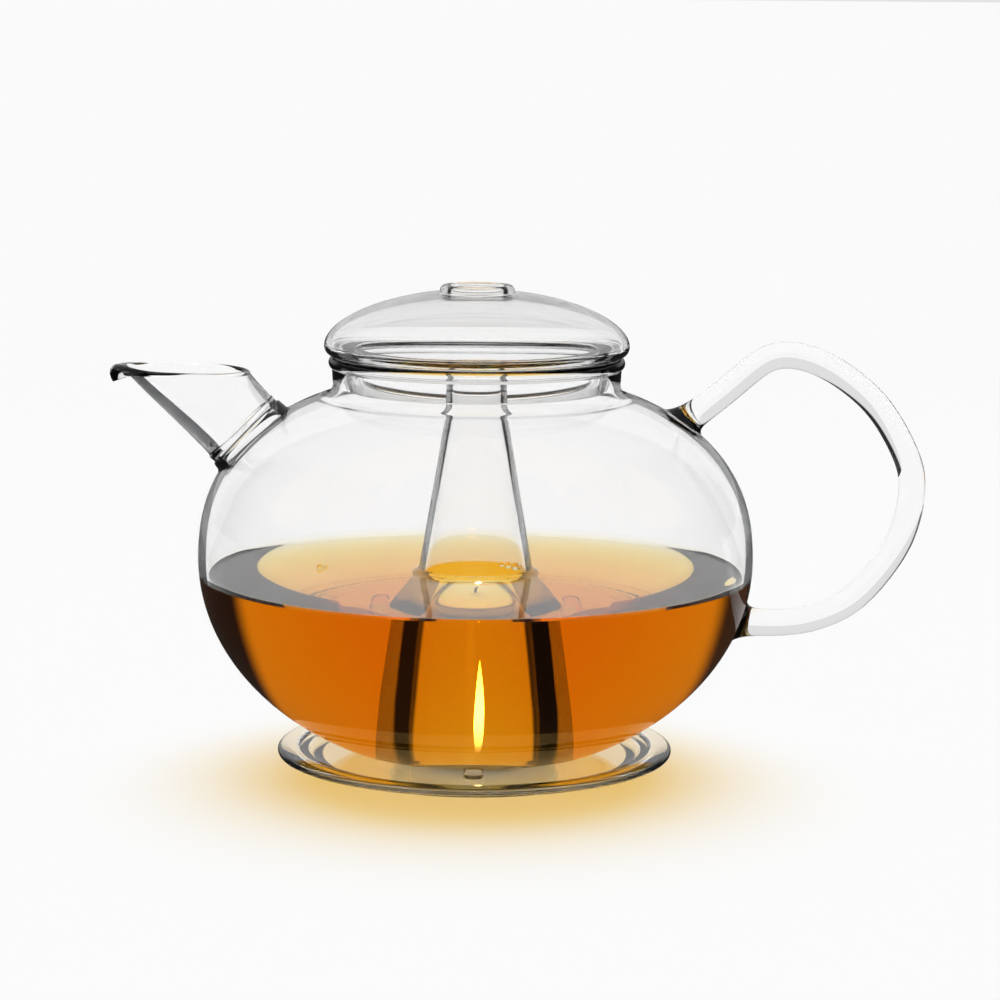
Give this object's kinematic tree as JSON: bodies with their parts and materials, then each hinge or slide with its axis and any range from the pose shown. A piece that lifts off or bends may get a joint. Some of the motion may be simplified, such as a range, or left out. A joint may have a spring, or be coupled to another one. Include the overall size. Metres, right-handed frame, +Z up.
{
  "type": "glass teapot",
  "caption": "Squat clear glass teapot with open spout, looped rod handle and domed lid, on a saucer with a tealight under a cone that rises through the pot.",
  "frame": {"origin": "centre of the saucer's flat underside, on the pot's axis", "axes": "+Z up along the pot's axis, +X towards the handle, -X towards the spout, +Y to the back"},
  "size_m": [0.2448, 0.1662, 0.1451],
  "materials": {
    "clear_glass": "clear blown borosilicate glass, fire polished",
    "cup_aluminium": "pressed thin aluminium, bright",
    "candle_wax": "white paraffin wax, molten and glossy near the wick",
    "tinplate": "stamped tinplate",
    "wick_cotton": "waxed braided cotton, charred at the tip",
    "amber_tea": "clear amber black tea",
    "flame": "glowing candle flame"
  },
  "bodies": {
    "base": {"saucer": "clear_glass", "rest_nub_1": "clear_glass", "rest_nub_2": "clear_glass", "rest_nub_3": "clear_glass"},
    "tealight": {"tealight_cup": "cup_aluminium", "tealight_wax": "candle_wax", "wick_sustainer": "tinplate", "wick": "wick_cotton"},
    "pot": {"pot_body": "clear_glass", "chimney": "clear_glass", "spout_collar": "clear_glass", "spout": "clear_glass", "handle": "clear_glass", "handle_weld_upper": "clear_glass", "handle_weld_lower": "clear_glass"},
    "lid": {"lid_dome": "clear_glass", "lid_collar": "clear_glass", "lid_vent_ring": "clear_glass"}
  },
  "joints": [
    {"name": "pot_lift", "type": "slide", "parent": "base", "child": "pot", "axis": [0, 0, 1], "range_m": [0, 0.06]},
    {"name": "tealight_lift", "type": "slide", "parent": "base", "child": "tealight", "axis": [0, 0, 1], "range_m": [0, 0.008]},
    {"name": "lid_lift", "type": "slide", "parent": "pot", "child": "lid", "axis": [0, 0, 1], "range_m": [0, 0.05]}
  ]
}
